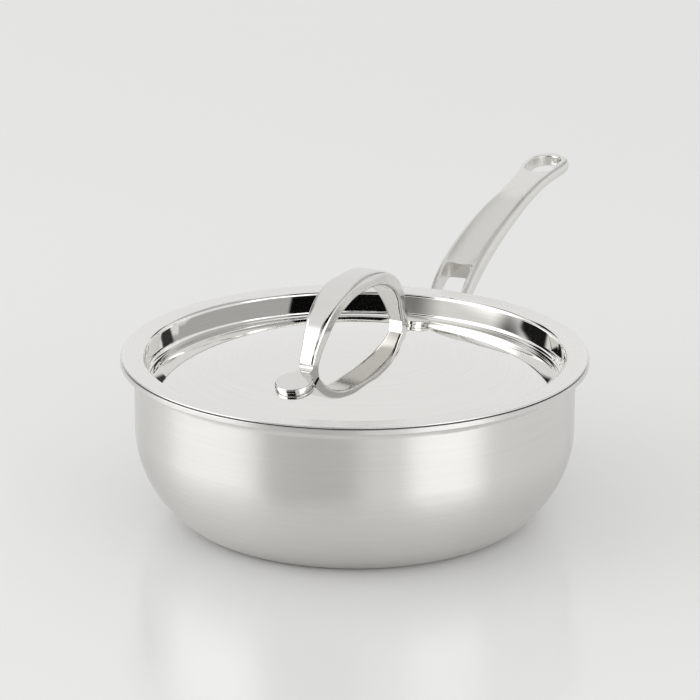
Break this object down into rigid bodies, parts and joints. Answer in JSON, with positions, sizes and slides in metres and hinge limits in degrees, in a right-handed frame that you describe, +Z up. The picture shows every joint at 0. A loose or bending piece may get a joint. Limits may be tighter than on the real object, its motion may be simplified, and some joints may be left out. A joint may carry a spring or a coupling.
{
  "type": "saucier pan",
  "caption": "Round-bottomed clad stainless saucier pan with a straight rim, a forked long handle with a hang hole, and a lift-off recessed dome lid with a strap loop.",
  "frame": {"origin": "centre of the flat base's underside, on the bowl's axis", "axes": "+Z up along the bowl's axis, +X along the long handle towards its hang hole"},
  "size_m": [0.4636, 0.26, 0.138],
  "materials": {
    "skin_brushed_steel": "magnetic stainless, brushed round the bowl",
    "core_aluminium": "rolled, sealed between the skins",
    "lining_satin_steel": "satin stainless, brushed round the bowl",
    "handle_satin_steel": "forged stainless, fine bead-blasted satin, polished in the slot and hang hole",
    "rivet_steel": "stainless, flush ground inside, rounded outside",
    "lid_steel": "stainless, brushed flange, mirror-polished recess and dome",
    "loop_polished_steel": "forged stainless, mirror polished"
  },
  "bodies": {
    "pan": {"outer_skin": "skin_brushed_steel", "aluminium_core": "core_aluminium", "inner_lining": "lining_satin_steel", "long_handle": "handle_satin_steel", "handle_rivet_left": "rivet_steel", "handle_rivet_right": "rivet_steel", "handle_rivet_lower": "rivet_steel"},
    "lid": {"lid_shell": "lid_steel", "lid_loop": "loop_polished_steel", "lid_rivet_front": "rivet_steel", "lid_rivet_back": "rivet_steel"}
  },
  "joints": [
    {"name": "lid_lift", "type": "slide", "parent": "pan", "child": "lid", "axis": [0, 0, 1], "range_m": [0, 0.15]}
  ]
}
